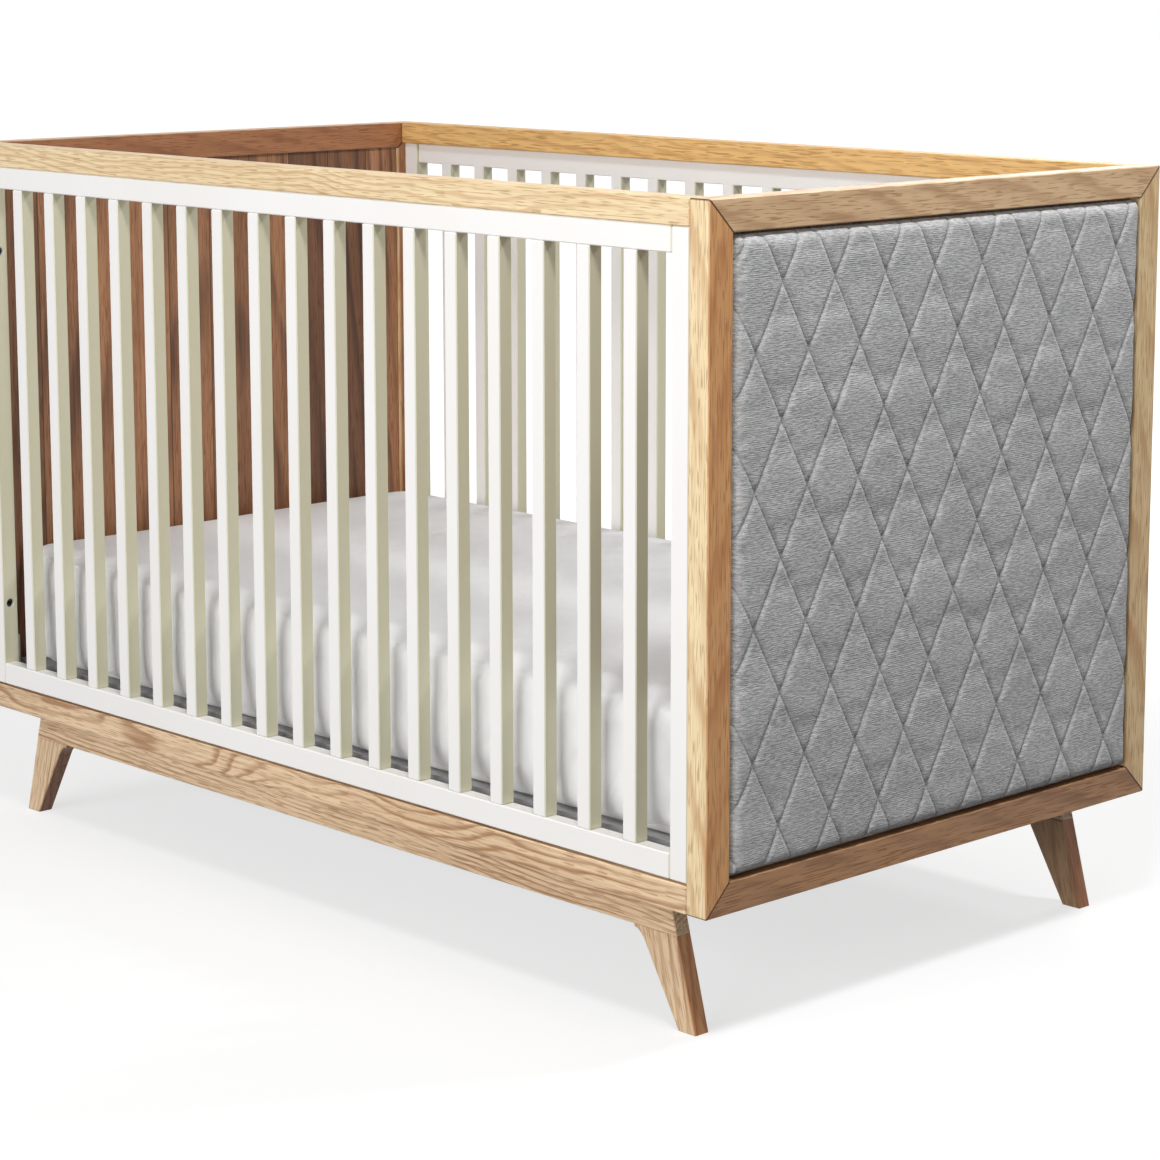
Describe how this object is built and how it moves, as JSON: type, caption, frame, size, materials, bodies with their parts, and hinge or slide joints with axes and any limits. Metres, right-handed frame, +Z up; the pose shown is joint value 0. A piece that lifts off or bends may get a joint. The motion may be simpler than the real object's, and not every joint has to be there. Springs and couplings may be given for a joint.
{
  "type": "baby crib",
  "caption": "Full-size baby crib with quilted upholstered oak ends, white slatted sides, splayed oak legs and a mattress on a height-adjustable spring support.",
  "frame": {"origin": "on the floor under the middle of the crib", "axes": "+X along the length to the right-hand end, +Y to the back, +Z up"},
  "size_m": [1.39, 0.766, 0.915],
  "materials": {
    "oak": "clear matt lacquer over natural oak",
    "oak_panel": "matt lacquered oak veneer, vertical grain",
    "white_paint": "satin warm white paint on hardwood",
    "quilted_fabric": "mid grey heathered weave, quilted in tall diamonds",
    "cotton_sheet": "white cotton fitted sheet",
    "powder_coated_steel": "dark grey powder coat",
    "spring_wire": "drawn spring wire",
    "zinc_steel": "bright zinc plate"
  },
  "bodies": {
    "crib": {"back_apron": "oak", "back_bottom_rail": "oak", "back_left_leg": "oak", "back_panel_grille": "white_paint", "back_panel_left_stile": "white_paint", "back_panel_right_stile": "white_paint", "back_right_leg": "oak", "back_top_rail": "oak", "base_left_cross_rail": "oak", "base_right_cross_rail": "oak", "front_apron": "oak", "front_bottom_rail": "oak", "front_left_leg": "oak", "front_panel_bottom_rail": "white_paint", "front_panel_left_stile": "white_paint", "front_panel_right_stile": "white_paint", "front_panel_slat_01": "white_paint", "front_panel_slat_02": "white_paint", "front_panel_slat_03": "white_paint", "front_panel_slat_04": "white_paint", "front_panel_slat_05": "white_paint", "front_panel_slat_06": "white_paint", "front_panel_slat_07": "white_paint", "front_panel_slat_08": "white_paint", "front_panel_slat_09": "white_paint", "front_panel_slat_10": "white_paint", "front_panel_slat_11": "white_paint", "front_panel_slat_12": "white_paint", "front_panel_slat_13": "white_paint", "front_panel_slat_14": "white_paint", "front_panel_slat_15": "white_paint", "front_panel_slat_16": "white_paint", "front_panel_slat_17": "white_paint", "front_panel_top_rail": "white_paint", "front_right_leg": "oak", "front_top_rail": "oak", "left_end_back_post": "oak", "left_end_bottom_rail": "oak", "left_end_front_post": "oak", "left_end_inner_panel": "oak_panel", "left_end_quilted_pad": "quilted_fabric", "left_end_top_rail": "oak", "right_end_back_post": "oak", "right_end_bottom_rail": "oak", "right_end_front_post": "oak", "right_end_inner_panel": "oak_panel", "right_end_quilted_pad": "quilted_fabric", "right_end_top_rail": "oak"},
    "mattress_support": {"back_left_hanger_bracket": "powder_coated_steel", "back_left_support_bolt": "zinc_steel", "back_right_hanger_bracket": "powder_coated_steel", "back_right_support_bolt": "zinc_steel", "front_left_hanger_bracket": "powder_coated_steel", "front_left_support_bolt": "zinc_steel", "front_right_hanger_bracket": "powder_coated_steel", "front_right_support_bolt": "zinc_steel", "mattress_support_frame": "powder_coated_steel", "mattress_support_springs": "spring_wire"},
    "mattress": {"mattress": "cotton_sheet"}
  },
  "joints": [
    {"name": "support_height", "type": "slide", "parent": "crib", "child": "mattress_support", "axis": [0, 0, 1], "range_m": [0, 0.18]},
    {"name": "mattress_lift", "type": "slide", "parent": "mattress_support", "child": "mattress", "axis": [0, 0, 1], "range_m": [0, 0.75]}
  ]
}
